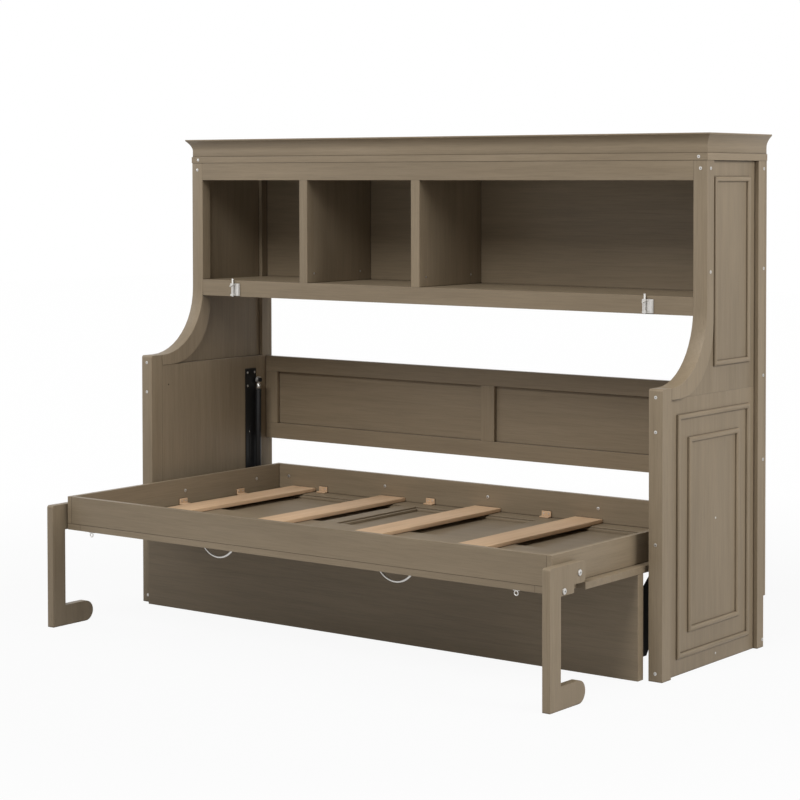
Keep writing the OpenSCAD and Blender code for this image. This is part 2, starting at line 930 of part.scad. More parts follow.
latch_bolt(1);  // latch_bolt_right
bed_front_rail();
bed_back_rail();
bed_end_rail(-1);  // bed_end_rail_left
bed_end_rail(1);  // bed_end_rail_right
bed_floor();
floor_panels();
slats();
rail_blocks();
bed_hinge(-1);  // bed_hinge_left
bed_hinge(1);  // bed_hinge_right
pull_handles();
latch_strikes();
desk_board();
desk_braces();
leg(-1);  // leg_left
leg(1);  // leg_right
leg_bolts();
lock_bolt(-1);  // lock_bolt_left
lock_bolt(1);  // lock_bolt_right
cabinet_bolts();
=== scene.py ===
import json
import math
import random

import bmesh
import bpy
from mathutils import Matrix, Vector


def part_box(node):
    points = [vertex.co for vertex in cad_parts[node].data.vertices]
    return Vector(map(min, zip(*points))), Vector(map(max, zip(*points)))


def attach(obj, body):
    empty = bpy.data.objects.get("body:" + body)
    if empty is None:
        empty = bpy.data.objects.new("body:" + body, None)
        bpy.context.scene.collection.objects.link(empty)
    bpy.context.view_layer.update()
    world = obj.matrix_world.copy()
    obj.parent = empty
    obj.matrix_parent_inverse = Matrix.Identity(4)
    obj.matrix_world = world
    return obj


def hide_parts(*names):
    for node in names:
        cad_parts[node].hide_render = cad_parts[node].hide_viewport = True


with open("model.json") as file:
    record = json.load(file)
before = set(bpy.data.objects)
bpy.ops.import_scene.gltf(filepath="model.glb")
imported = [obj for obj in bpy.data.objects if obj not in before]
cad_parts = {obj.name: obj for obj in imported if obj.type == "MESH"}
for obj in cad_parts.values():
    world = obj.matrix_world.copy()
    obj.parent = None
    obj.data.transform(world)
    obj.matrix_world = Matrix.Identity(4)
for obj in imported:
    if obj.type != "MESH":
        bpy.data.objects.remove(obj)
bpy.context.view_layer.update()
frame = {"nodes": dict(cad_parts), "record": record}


# Camera: a long lens at a standing viewer's height, seen from the right front corner.
# Its place and turn come from the straight edges of the photograph. The frame is shifted
# down and to the left, as the edges of the cabinet stay nearly upright.
CAMERA_PLACE = (4.4228, -5.5455, 1.5013)
CAMERA_TURN = 35.6945
CAMERA_TILT = 1.8664
FOCAL_PX = 2162.3
FRAME_PX = 800
CENTRE_PX = (500, 250)
SENSOR_MM = 36.0
VIEW_END = 100.0

camera_data = bpy.data.cameras.new("camera")
camera_data.sensor_width = SENSOR_MM
camera_data.lens = FOCAL_PX / FRAME_PX * SENSOR_MM
camera_data.shift_x = (FRAME_PX / 2 - CENTRE_PX[0]) / FRAME_PX
camera_data.shift_y = (CENTRE_PX[1] - FRAME_PX / 2) / FRAME_PX
camera_data.clip_end = VIEW_END
camera = bpy.data.objects.new("camera", camera_data)
camera.location = CAMERA_PLACE
camera.rotation_euler = (math.radians(90 - CAMERA_TILT), 0, math.radians(CAMERA_TURN))
bpy.context.scene.collection.objects.link(camera)
bpy.context.scene.camera = camera


# Floor and studio: a white ground in a white room. The ground keeps a faint soft shadow
# near the object and fades to the white of the room further out.
FLOOR_HALF = 20.0
FLOOR_COLOUR = (0.5, 0.5, 0.5, 1)
FLOOR_GLOW_NEAR = 0.93
FLOOR_GLOW_FAR = 0.995
FLOOR_FADE = (1.6, 3.6)
WORLD_LIGHT = 0.295
WHITE = (1, 1, 1, 1)
FULL_WHITE = 1.0


def fresh_nodes(owner):
    """Turns nodes on for a material or world and empties them."""
    owner.use_nodes = True
    owner.node_tree.nodes.clear()
    return owner.node_tree.nodes, owner.node_tree.links


def seen_directly(nodes, links):
    """1 for what the camera, a mirror or clear glass sees, and 0 for plain light."""
    path = nodes.new("ShaderNodeLightPath")
    last = path.outputs["Is Camera Ray"]
    for ray in ("Is Glossy Ray", "Is Transmission Ray"):
        either = nodes.new("ShaderNodeMath")
        either.operation = "MAXIMUM"
        links.new(last, either.inputs[0])
        links.new(path.outputs[ray], either.inputs[1])
        last = either.outputs[0]
    return last


floor_mesh = bpy.data.meshes.new("studio_floor")
corners = [(x * FLOOR_HALF, y * FLOOR_HALF, 0) for x, y in ((-1, -1), (1, -1), (1, 1), (-1, 1))]
floor_mesh.from_pydata(corners, [], [(0, 1, 2, 3)])
floor = bpy.data.objects.new("studio_floor", floor_mesh)
bpy.context.scene.collection.objects.link(floor)

floor_material = bpy.data.materials.new("studio_floor")
nodes, links = fresh_nodes(floor_material)
floor_out = nodes.new("ShaderNodeOutputMaterial")
ground = nodes.new("ShaderNodeBsdfDiffuse")
ground.inputs["Color"].default_value = FLOOR_COLOUR
white = nodes.new("ShaderNodeEmission")
white.inputs["Strength"].default_value = FULL_WHITE
coord = nodes.new("ShaderNodeTexCoord")
reach = nodes.new("ShaderNodeVectorMath")
reach.operation = "LENGTH"
fade = nodes.new("ShaderNodeMapRange")
fade.inputs["From Min"].default_value = FLOOR_FADE[0]
fade.inputs["From Max"].default_value = FLOOR_FADE[1]
fade.inputs["To Min"].default_value = FLOOR_GLOW_NEAR
fade.inputs["To Max"].default_value = FLOOR_GLOW_FAR
glow = nodes.new("ShaderNodeMath")
glow.operation = "MULTIPLY"
mix = nodes.new("ShaderNodeMixShader")
links.new(coord.outputs["Object"], reach.inputs[0])
links.new(reach.outputs["Value"], fade.inputs["Value"])
links.new(fade.outputs["Result"], glow.inputs[0])
links.new(seen_directly(nodes, links), glow.inputs[1])
links.new(glow.outputs[0], mix.inputs["Fac"])
links.new(ground.outputs[0], mix.inputs[1])
links.new(white.outputs[0], mix.inputs[2])
links.new(mix.outputs[0], floor_out.inputs["Surface"])
floor_mesh.materials.append(floor_material)

world = bpy.data.worlds.new("studio")
bpy.context.scene.world = world
nodes, links = fresh_nodes(world)
world_out = nodes.new("ShaderNodeOutputWorld")
soft_light = nodes.new("ShaderNodeBackground")
soft_light.inputs["Strength"].default_value = WORLD_LIGHT
soft_light.inputs["Color"].default_value = WHITE
room = nodes.new("ShaderNodeBackground")
room.inputs["Strength"].default_value = FULL_WHITE
room.inputs["Color"].default_value = WHITE
mix = nodes.new("ShaderNodeMixShader")
links.new(seen_directly(nodes, links), mix.inputs["Fac"])
links.new(soft_light.outputs[0], mix.inputs[1])
links.new(room.outputs[0], mix.inputs[2])
links.new(mix.outputs[0], world_out.inputs["Surface"])

# Three large soft lamps: name, place, width and power in watts.
LAMPS = (("key", (5.5, 0.2, 3.2), 2.6, 190),
         ("front", (1.2, -7.0, 8.2), 5.0, 750),
         ("fill", (-5.0, -2.0, 3.0), 3.0, 60))
AIM = Vector((0, -0.1, 0.7))
for lamp_name, place, width, power in LAMPS:
    lamp_data = bpy.data.lights.new(lamp_name, "AREA")
    lamp_data.shape = "DISK"
    lamp_data.size = width
    lamp_data.energy = power
    lamp = bpy.data.objects.new(lamp_name, lamp_data)
    lamp.location = place
    lamp.rotation_euler = (AIM - Vector(place)).to_track_quat("-Z", "Y").to_euler()
    lamp.visible_camera = False
    bpy.context.scene.collection.objects.link(lamp)

bpy.context.scene.view_settings.view_transform = "Standard"


# Posts: the uprights of both sides, of sanded wood under a grey-brown stain. The front posts
# are low, with rounded tops, and the back posts carry a thin strip that stands off the wall.
STAIN = {"dark": (0.202, 0.155, 0.101), "mid": (0.217, 0.168, 0.110), "light": (0.231, 0.180, 0.120)}
STAIN_ROUGHNESS = 0.46
WOOD_SHINE = 0.3
GRAIN = {"x": (0.9, 16, 16), "y": (16, 0.9, 16), "z": (16, 16, 0.9)}
BOARD_STEP = (23.0, 17.0, 29.0)
VEINS = {"size": 2.6, "detail": 6, "rough": 0.6}
VEIN_TONES = ((0.32, "dark"), (0.5, "mid"), (0.7, "light"))
PORES = {"size": 3.0, "detail": 4, "rough": 0.7}
PORES_ACROSS = 6
PORES_ALONG = 3
PORE_TONES = ((0.36, 0.90), (0.56, 1.02))
PORE_ROUGHNESS = (-0.07, 0.10)
PORE_RELIEF = {"strength": 0.14, "depth": 0.001}
CLOUDS = {"size": 3.2, "detail": 2, "rough": 0.5}
CLOUD_STRETCH = 0.35
CLOUD_TONES = ((0.3, 0.93), (0.7, 1.07))
BOARD_TONES = ((0.0, 0.96), (1.0, 1.04))
# Painted shade: ambient occlusion within this reach darkens the wood's colour in creases, corners and
# joints.
CREASE_SHADE_REACH = 0.006
CREASE_SHADE_SAMPLES = 6
CREASE_SHADE_SHARES = (0.42, 0.86)
CREASE_SHADE_TONE = (0.30, 0.27, 0.25)


def ramp(nodes, links, value, stops):
    """A colour ramp of (place, colour) stops on a value."""
    node = nodes.new("ShaderNodeValToRGB")
    elements = node.color_ramp.elements
    while len(elements) < len(stops):
        elements.new(0.5)
    for element, (place, colour) in zip(elements, stops):
        element.position = place
        element.color = (*colour, 1)
    links.new(value, node.inputs["Fac"])
    return node.outputs["Color"]


def spread(nodes, links, value, low, high):
    """Maps a value from 0..1 to low..high."""
    node = nodes.new("ShaderNodeMapRange")
    node.inputs["To Min"].default_value = low
    node.inputs["To Max"].default_value = high
    links.new(value, node.inputs["Value"])
    return node.outputs["Result"]


def noise(nodes, links, vector, stretch, size, detail, rough):
    """Noise on stretched coordinates."""
    mapping = nodes.new("ShaderNodeMapping")
    mapping.inputs["Scale"].default_value = stretch
    node = nodes.new("ShaderNodeTexNoise")
    node.inputs["Scale"].default_value = size
    node.inputs["Detail"].default_value = detail
    node.inputs["Roughness"].default_value = rough
    links.new(vector, mapping.inputs["Vector"])
    links.new(mapping.outputs["Vector"], node.inputs["Vector"])
    return node.outputs["Fac"]


def multiplied(nodes, links, first, second):
    """Lays one colour over another as a glaze."""
    node = nodes.new("ShaderNodeMix")
    node.data_type = "RGBA"
    node.blend_type = "MULTIPLY"
    node.inputs["Factor"].default_value = 1.0
    links.new(first, node.inputs[6])
    links.new(second, node.inputs[7])
    return node.outputs[2]


def greys(stops):
    """Turns (place, tone) stops into (place, colour) stops of plain grey."""
    return [(place, (tone, tone, tone)) for place, tone in stops]


def relief(nodes, links, shader, height, strength, depth):
    """Gives the surface a fine relief from a value."""
    node = nodes.new("ShaderNodeBump")
    node.inputs["Strength"].default_value = strength
    node.inputs["Distance"].default_value = depth
    links.new(height, node.inputs["Height"])
    links.new(node.outputs["Normal"], shader.inputs["Normal"])


def wood(name, along, tones, roughness):
    """Wood with veins, pores and clouds of tone, its grain along one axis, darkened by ambient occlusion
    in creases, corners and joints as painted shade. Each board has its own number in the attribute
    board, which moves the pattern and shifts its tone."""
    material = bpy.data.materials.new(name)
    material.use_nodes = True
    nodes = material.node_tree.nodes
    links = material.node_tree.links
    shader = nodes["Principled BSDF"]
    shader.inputs["Specular IOR Level"].default_value = WOOD_SHINE
    coord = nodes.new("ShaderNodeTexCoord")
    board = nodes.new("ShaderNodeAttribute")
    board.attribute_name = "board"
    moved = nodes.new("ShaderNodeVectorMath")
    moved.operation = "MULTIPLY_ADD"
    moved.inputs[1].default_value = BOARD_STEP
    links.new(board.outputs["Vector"], moved.inputs[0])
    links.new(coord.outputs["Object"], moved.inputs[2])
    place = moved.outputs["Vector"]
    veins_run = GRAIN[along]
    pores_run = tuple(s * (PORES_ACROSS if s > 1 else PORES_ALONG) for s in veins_run)
    clouds_run = tuple(CLOUD_STRETCH * math.sqrt(s) for s in veins_run)
    veins = noise(nodes, links, place, veins_run, **VEINS)
    pores = noise(nodes, links, place, pores_run, **PORES)
    clouds = noise(nodes, links, place, clouds_run, **CLOUDS)
    # Painted shade: ambient occlusion darkens the colour in creases, corners and joints.
    crease_shade = nodes.new("ShaderNodeAmbientOcclusion")
    crease_shade.samples = CREASE_SHADE_SAMPLES
    crease_shade.inputs["Distance"].default_value = CREASE_SHADE_REACH
    crease_shade_stops = list(zip(CREASE_SHADE_SHARES, (CREASE_SHADE_TONE, WHITE[:3])))
    colour = ramp(nodes, links, veins, [(share, tones[depth]) for share, depth in VEIN_TONES])
    for value, stops in ((clouds, greys(CLOUD_TONES)), (pores, greys(PORE_TONES)),
                         (board.outputs["Fac"], greys(BOARD_TONES)), (crease_shade.outputs["AO"], crease_shade_stops)):
        colour = multiplied(nodes, links, colour, ramp(nodes, links, value, stops))
    links.new(colour, shader.inputs["Base Color"])
    rough = spread(nodes, links, pores, *(roughness + step for step in PORE_ROUGHNESS))
    links.new(rough, shader.inputs["Roughness"])
    relief(nodes, links, shader, pores, **PORE_RELIEF)
    return material


stain = {a: wood("stained_wood_" + a, a, STAIN, STAIN_ROUGHNESS) for a in "xyz"}
body_of_node = {n: b for b, ns in frame["record"]["behaviour"]["bodies"].items() for n in ns}


def number_boards(work, name):
    """Gives each separate board of a mesh one number of its own."""
    layer = work.verts.layers.float.new("board")
    draw = random.Random(name)
    waiting = set(work.verts)
    for start in list(work.verts):
        if start not in waiting:
            continue
        number = draw.uniform(0.0, 1.0)
        front = [start]
        waiting.discard(start)
        while front:
            vert = front.pop()
            vert[layer] = number
            for edge in vert.link_edges:
                other = edge.other_vert(vert)
                if other in waiting:
                    waiting.discard(other)
                    front.append(other)


def stand_in(mesh, name, nodes_replaced, body=None):
    """Makes a finished mesh a piece that rides on its body in the place of CAD nodes."""
    piece = bpy.data.objects.new(name, mesh)
    bpy.context.scene.collection.objects.link(piece)
    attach(piece, body or body_of_node[nodes_replaced[0]])
    if nodes_replaced:
        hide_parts(*nodes_replaced)
    return piece


EDGE_MM = 1.3
EDGE_STEPS = 2
EDGE_ROUND = 0.6
WELD = 1e-5
FLAT_TURN = math.radians(0.5)
CURVE_TURN = math.radians(1)
CORNER_TURN = math.radians(30)
CREASE_TURN = math.radians(38)


def eased(node, materials, edge_mm=EDGE_MM, pick=None, shaped=None):
    """Stands a copy of a CAD part, with its edges rounded off, in the place of the part.
    pick chooses the material of a face, and shaped moves the points before the rounding."""
    mesh = frame["nodes"][node].data.copy()
    work = bmesh.new()
    work.from_mesh(mesh)
    bmesh.ops.remove_doubles(work, verts=work.verts, dist=WELD)
    bmesh.ops.dissolve_limit(work, angle_limit=FLAT_TURN, verts=work.verts, edges=work.edges)
    number_boards(work, node)
    if shaped:
        for vert in work.verts:
            vert.co = shaped(vert.co)
    curved = work.faces.layers.int.new("curved")
    for edge in work.edges:
        if len(edge.link_faces) == 2 and CURVE_TURN < edge.calc_face_angle(0) < CORNER_TURN:
            for face in edge.link_faces:
                face[curved] = 1
    sharp = [e for e in work.edges if len(e.link_faces) == 2 and e.calc_face_angle(0) > CORNER_TURN]
    if edge_mm:
        made = bmesh.ops.bevel(work, geom=sharp, offset=edge_mm / 1000, segments=EDGE_STEPS,
                               profile=EDGE_ROUND, affect="EDGES", clamp_overlap=True)
        for face in made["faces"]:
            face[curved] = 1
    for face in work.faces:
        face.smooth = face[curved] == 1
        face.material_index = pick(face) if pick else 0
    for edge in work.edges:
        edge.smooth = len(edge.link_faces) != 2 or edge.calc_face_angle(0) < CREASE_TURN
    work.faces.layers.int.remove(work.faces.layers.int["curved"])
    mesh.materials.clear()
    for material in materials if isinstance(materials, list) else [materials]:
        mesh.materials.append(material)
    work.to_mesh(mesh)
    work.free()
    return stand_in(mesh, "board_" + node, [node])


SIDES = ("left", "right")
for side in SIDES:
    for board in ("front_post_", "back_post_", "back_strip_"):
        eased(board + side, stain["z"])


# Curved stiles: cut from wide boards, upright at the shelf and sweeping out to the tops of the
# low posts, with the grain running up them.
for side in SIDES:
    eased("curved_stile_" + side, stain["z"])


# Side panels: flat boards let in between the posts, a thick one below and a thin one above,
# with a fine joint where they meet.
PANEL_EDGE_MM = 0.9

for side in SIDES:
    eased("lower_side_" + side, stain["z"], PANEL_EDGE_MM)
    eased("upper_side_" + side, stain["z"], PANEL_EDGE_MM)


# Side mouldings: beaded strips, mitred and glued on the panels, one frame above and two
# below, one inside the other. Their grain runs along each strip.
MOULDING_EDGE_MM = 0


def along_strip(face):
    """Picks the grain by the longest edge of a face: 0 for level strips, 1 for upright ones."""
    longest = max(face.edges, key=lambda e: e.calc_length())
    run = longest.verts[0].co - longest.verts[1].co
    return 0 if abs(run.y) > abs(run.z) else 1


for side in SIDES:
    eased("side_mouldings_" + side, [stain["y"], stain["z"]], MOULDING_EDGE_MM, pick=along_strip)


# Shelf cabinet: rails, shelf, top board and dividers, with a thin back panel.
# Rails and shelf have their grain along the width, and the dividers stand.
SHELF_EDGE_MM = 1.0
DIVIDERS = ("left_divider", "middle_divider")

for board in ("top_rail", "shelf_rail", "shelf_board", "top_board", "upper_back_panel"):
    eased(board, stain["x"], SHELF_EDGE_MM)
for board in DIVIDERS:
    eased(board, stain["z"], SHELF_EDGE_MM)


# Cornice: a flat frieze with side returns under a hollow crown moulding, which is mitred at
# the front corners. The grain follows the front and the sides.
FRIEZE_EDGE_MM = 0.9
CROWN_EDGE_MM = 0.8
RETURN_X = 1.04
CROWN_BACK = 0.001
CROWN_OUT = 0.018
FOOT_SHARE = 1 / 3
LIP_SHARE = 1 / 14
FLARE_END = 0.001
FRONT_FACING = 0.5
low, high = (Vector(p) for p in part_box("crown_front"))
crown_foot = low.z + (high.z - low.z) * FOOT_SHARE
crown_rise = (high.z - low.z) * (1 - FOOT_SHARE - LIP_SHARE)
mitre_y = low.y + CROWN_OUT + CROWN_BACK


def along_return(face):
    """0 for the front length of the frieze, 1 for the side returns."""
    middle = face.calc_center_median()
    return 1 if abs(middle.x) > RETURN_X and abs(face.normal.y) < FRONT_FACING else 0


def flared(place):
    """Opens the hollow of the crown into an even flare between the same foot and lip."""
    share = (place.z - crown_foot) / crown_rise
    if not FLARE_END < share < 1 - FLARE_END:
        return place
    shift = (CROWN_OUT + CROWN_BACK) * (share ** 2 - 1 + math.sqrt(1 - share ** 2))
    toward_front = shift if place.y < mitre_y + CROWN_BACK else 0
    return place + Vector((math.copysign(shift, place.x), -toward_front, 0))


eased("frieze", [stain["x"], stain["y"]], FRIEZE_EDGE_MM, pick=along_return)
eased("crown_front", stain["x"], CROWN_EDGE_MM, shaped=flared)
for side in SIDES:
    eased("crown_" + side, stain["y"], CROWN_EDGE_MM, shaped=flared)


# Backboard: a frame of two rails and three stiles of stained wood behind the bed, with two
# thin panels let into it. The grain runs along the rails and up the stiles.
BACK_PANEL_EDGE_MM = 0.5

eased("backboard_rails", stain["x"])
eased("backboard_stiles", stain["z"])
eased("backboard_panels", stain["x"], BACK_PANEL_EDGE_MM)


# Bed frame: four rails on a floor frame whose thin lipped panels show between the slats,
# and the desk board that stands square to its underside. The panels' fields are sunk.
FIELD_Z = 0.336
FIELD_SUNK = 0.005
FIELD_FLAT = 0.0005


def sunk(place):
    """Lets the field of a floor panel lie deeper than its lip."""
    if abs(place.z - FIELD_Z) < FIELD_FLAT:
        return place - Vector((0, 0, FIELD_SUNK))
    return place


for board in ("bed_front_rail", "bed_back_rail", "bed_floor", "desk_board"):
    eased(board, stain["x"])
eased("floor_panels", stain["x"], shaped=sunk)
for side in SIDES:
    eased("bed_end_rail_" + side, stain["y"])


# Legs: flat J-shaped boards of stained wood with rounded ends, one at each front corner of
# the bed. Each turns on a pivot bolt and is held by a lock bolt.
LEG_EDGE_MM = 1.8

for side in SIDES:
    eased("leg_" + side, stain["z"], LEG_EDGE_MM)


# Slats: raw poplar boards with rounded edges, laid across the floor frame from rail to rail
# at even steps.
SLAT_TONES = {"dark": (0.53, 0.355, 0.215), "mid": (0.585, 0.397, 0.245), "light": (0.63, 0.442, 0.278)}
SLAT_COUNT = 5
SLAT_PITCH = 0.422
SLAT_EDGE = 0.002
SLAT_EDGE_STEPS = 4
SLAT_SEED = 4
RAW_ROUGHNESS = 0.55
raw_wood = wood("raw_slat_wood", "y", SLAT_TONES, RAW_ROUGHNESS)


class Jig:
    """A geometry tree that makes parts which repeat, with named inputs for their sizes."""

    def __init__(self, name, sizes):
        self.tree = bpy.data.node_groups.new(name, "GeometryNodeTree")
        self.sizes = sizes
        face = self.tree.interface
        face.new_socket("Geometry", in_out="INPUT", socket_type="NodeSocketGeometry")
        face.new_socket("Geometry", in_out="OUTPUT", socket_type="NodeSocketGeometry")
        for label, value in sizes.items():
            kind = "NodeSocketInt" if isinstance(value, int) else "NodeSocketFloat"
            face.new_socket(label, in_out="INPUT", socket_type=kind).default_value = value
        self.given = self.tree.nodes.new("NodeGroupInput").outputs
        self.made = self.tree.nodes.new("NodeGroupOutput").inputs

    def add(self, kind, links=None, values=None, **settings):
        """Adds a node, with what is joined to its inputs, plain values and settings."""
        node = self.tree.nodes.new(kind)
        for key, value in settings.items():
            setattr(node, key, value)
        for key, value in (values or {}).items():
            node.inputs[key].default_value = value
        for key, source in (links or {}).items():
            self.tree.links.new(source, node.inputs[key])
        return node.outputs

    def calc(self, operation, first, second):
        """A sum of two terms, each a number or a socket."""
        node = self.tree.nodes.new("ShaderNodeMath")
        node.operation = operation
        for socket, term in zip(node.inputs, (first, second)):
            if isinstance(term, float):
                socket.default_value = term
            else:
                self.tree.links.new(term, socket)
        return node.outputs[0]

    def vector(self, **parts):
        """A vector from sockets for X, Y and Z."""
        return self.add("ShaderNodeCombineXYZ", links=parts)[0]

    def joined(self, *parts):
        """Several meshes or curves as one."""
        node = self.tree.nodes.new("GeometryNodeJoinGeometry")
        for part in parts:
            self.tree.links.new(part, node.inputs[0])
        return node.outputs[0]

    def make(self, copies, material, name, base=None):
        """Closes the tree, runs it on a mesh of points and returns the plain mesh."""
        real = self.add("GeometryNodeRealizeInstances", {"Geometry": copies})
        paint = self.add("GeometryNodeSetMaterial", {"Geometry": real[0]}, {"Material": material})
        self.tree.links.new(paint[0], self.made["Geometry"])
        carrier = bpy.data.objects.new(name + "_jig", base or bpy.data.meshes.new(name + "_jig"))
        bpy.context.scene.collection.objects.link(carrier)
        modifier = carrier.modifiers.new("make", "NODES")
        modifier.node_group = self.tree
        for item in self.tree.interface.items_tree:
            if item.in_out == "INPUT" and item.name in self.sizes:
                modifier[item.identifier] = self.sizes[item.name]
        shown = carrier.evaluated_get(bpy.context.evaluated_depsgraph_get())
        mesh = bpy.data.meshes.new_from_object(shown)
        carrier.modifiers.remove(modifier)
        bpy.data.objects.remove(carrier)
        mesh.name = name
        mesh.materials.clear()
        mesh.materials.append(material)
        for polygon in mesh.polygons:
            polygon.material_index = 0
        return mesh


def slat_row(sizes, name):
    """Boards along X: a rounded section swept along Y, one for each step."""
    jig = Jig("slat_row", sizes)
    section = jig.add("GeometryNodeCurvePrimitiveQuadrilateral",
                      {"Width": jig.given["Width"], "Height": jig.given["Thickness"]})
    rounded = jig.add("GeometryNodeFilletCurve", {"Curve": section[0], "Radius": jig.given["Edge radius"]},
                      {"Count": SLAT_EDGE_STEPS}, mode="POLY")
    reach = jig.calc("MULTIPLY", jig.given["Length"], 0.5)
    line = jig.add("GeometryNodeCurvePrimitiveLine",
                   {"Start": jig.vector(Y=jig.calc("MULTIPLY", reach, -1.0)), "End": jig.vector(Y=reach)})
    board = jig.add("GeometryNodeCurveToMesh", {"Curve": line[0], "Profile Curve": rounded[0]},
                    {"Fill Caps": True})
    row = jig.add("GeometryNodeMeshLine",
                  {"Count": jig.given["Count"], "Offset": jig.vector(X=jig.given["Pitch"])})
    copies = jig.add("GeometryNodeInstanceOnPoints", {"Points": row[0], "Instance": board[0]})
    number = jig.add("FunctionNodeRandomValue", values={"Seed": SLAT_SEED})
    numbered = jig.add("GeometryNodeStoreNamedAttribute", {"Geometry": copies[0], "Value": number[1]},
                       {"Name": "board"}, domain="INSTANCE")
    return jig.make(numbered[0], raw_wood, name)


low, high = (Vector(p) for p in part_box("slats"))
slat_width = high.x - low.x - (SLAT_COUNT - 1) * SLAT_PITCH
slats = slat_row({"Count": SLAT_COUNT, "Pitch": SLAT_PITCH, "Width": slat_width, "Length": high.y - low.y,
                  "Thickness": high.z - low.z, "Edge radius": SLAT_EDGE}, "slats")
first_slat = Vector((low.x + slat_width / 2, (low.y + high.y) / 2, (low.z + high.z) / 2))
for vertex in slats.vertices:
    vertex.co += first_slat
stand_in(slats, "bed_slats", ["slats"])


# Rail angles: small angles of raw poplar that hold the rails to the floor frame, each driven
# to its rail by two screws.
ANGLE_EDGE_MM = 1.2

eased("rail_blocks", raw_wood, ANGLE_EDGE_MM)


# Zinc-plated steel: slide bolts and their cases, strike lugs, bow handles, leg bolts and
# piston rods, bright and finely brushed.
ZINC = {"colour": (0.66, 0.64, 0.61), "metallic": 0.8, "roughness": 0.36, "varied": 0.09, "size": 260}
ZINC_EDGE_MM = 0.3
WORN_SHARE = 0.8
SKIN_SHARES = (0.3, 0.7)
SKIN_NOISE = {"detail": 5, "rough": 0.6}
SKIN_RELIEF = {"strength": 0.12, "depth": 0.0002}


def steel(name, colour, metallic, roughness, varied, size):
    """Coated steel whose tone, gloss and relief vary finely."""
    material = bpy.data.materials.new(name)
    material.use_nodes = True
    nodes = material.node_tree.nodes
    links = material.node_tree.links
    shader = nodes["Principled BSDF"]
    shader.inputs["Metallic"].default_value = metallic
    coord = nodes.new("ShaderNodeTexCoord")
    skin = noise(nodes, links, coord.outputs["Object"], (1, 1, 1), size, **SKIN_NOISE)
    worn = tuple(WORN_SHARE * c for c in colour)
    links.new(ramp(nodes, links, skin, list(zip(SKIN_SHARES, (worn, colour)))), shader.inputs["Base Color"])
    rough = spread(nodes, links, skin, roughness - varied, roughness + varied)
    links.new(rough, shader.inputs["Roughness"])
    relief(nodes, links, shader, skin, **SKIN_RELIEF)
    return material


zinc = steel("zinc_plate", **ZINC)
for node in ["pull_handles", "leg_bolts"] + [
        n + s for n in ("latch_case_", "latch_bolt_", "lock_bolt_", "strut_rod_") for s in SIDES]:
    eased(node, zinc, ZINC_EDGE_MM)


# Black steel: powder-coated plates, hinges and braces with a fine orange-peel skin, and the
# tubes of the gas struts, whose eyes and necks are plated.
POWDER = {"colour": (0.009, 0.009, 0.009), "metallic": 0.0, "roughness": 0.42, "varied": 0.07, "size": 900}
POWDER_SHINE = 0.28
BLACK_EDGE_MM = 0.5
EYE_REACH = 0.0475
powder_coat = steel("powder_coat", **POWDER)
powder_coat.node_tree.nodes["Principled BSDF"].inputs["Specular IOR Level"].default_value = POWDER_SHINE


def above_tube(face):
    """1 for the eye and the neck at the top of a gas strut, 0 for its tube."""
    return 1 if face.calc_center_median().z > strut_top - EYE_REACH else 0


for node in ["desk_braces"] + [n + s for n in ("pivot_plate_", "strut_plate_", "bed_hinge_") for s in SIDES]:
    eased(node, powder_coat, BLACK_EDGE_MM)
for side in SIDES:
    strut_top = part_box("strut_tube_" + side)[1][2]
    eased("strut_tube_" + side, [powder_coat, zinc], ZINC_EDGE_MM,
          pick=above_tube)


# Strike lugs: plates under the front edge of the floor, each with a ring of round wire that
# takes the slide bolt when the bed is up.
LUG = {"Ring radius": 0.0065, "Wire radius": 0.0016, "Plate": 0.0218, "Thickness": 0.0018}
LUG_INSET = 0.011
LUG_GAP = 0.0001
WIRE_SIDES = 12
RING_STEPS = 32


def strike_lugs(sizes, places, name):
    """A flat plate with a standing ring at its front edge, at each place."""
    jig = Jig(name, sizes)
    round_line = "GeometryNodeCurvePrimitiveCircle"
    wire = jig.add(round_line, {"Radius": jig.given["Wire radius"]}, {"Resolution": WIRE_SIDES})
    loop = jig.add(round_line, {"Radius": jig.given["Ring radius"]}, {"Resolution": RING_STEPS})
    ring = jig.add("GeometryNodeCurveToMesh", {"Curve": loop[0], "Profile Curve": wire[0]})
    smooth = jig.add("GeometryNodeSetShadeSmooth", {"Geometry": ring[0]})
    standing = jig.add("GeometryNodeTransform", {"Geometry": smooth[0]}, {"Rotation": (math.pi / 2, 0, 0)})
    size = jig.vector(X=jig.given["Plate"], Y=jig.given["Plate"], Z=jig.given["Thickness"])
    plate = jig.add("GeometryNodeMeshCube", {"Size": size})
    half = jig.calc("MULTIPLY", jig.given["Plate"], 0.5)
    back = jig.calc("SUBTRACT", half, jig.given["Wire radius"])
    rise = jig.calc("ADD", jig.given["Ring radius"], jig.given["Wire radius"])
    above = jig.vector(Y=back, Z=rise)
    set_back = jig.add("GeometryNodeTransform", {"Geometry": plate[0], "Translation": above})
    copies = jig.add("GeometryNodeInstanceOnPoints", {"Points": jig.given["Geometry"],
                                                      "Instance": jig.joined(standing[0], set_back[0])})
    points = bpy.data.meshes.new(name + "_points")
    points.from_pydata(places, [], [])
    return stand_in(jig.make(copies[0], zinc, name, points), name, ["latch_strikes"])


low, high = (Vector(p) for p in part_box("latch_strikes"))
ring_y = low.y + LUG["Wire radius"] + LUG_GAP
ring_z = high.z - LUG["Thickness"] / 2 - LUG["Ring radius"] - LUG["Wire radius"]
lug_places = [(x, ring_y, ring_z) for x in (low.x + LUG_INSET, high.x - LUG_INSET)]
strike_lugs(LUG, lug_places, "strike_lugs")


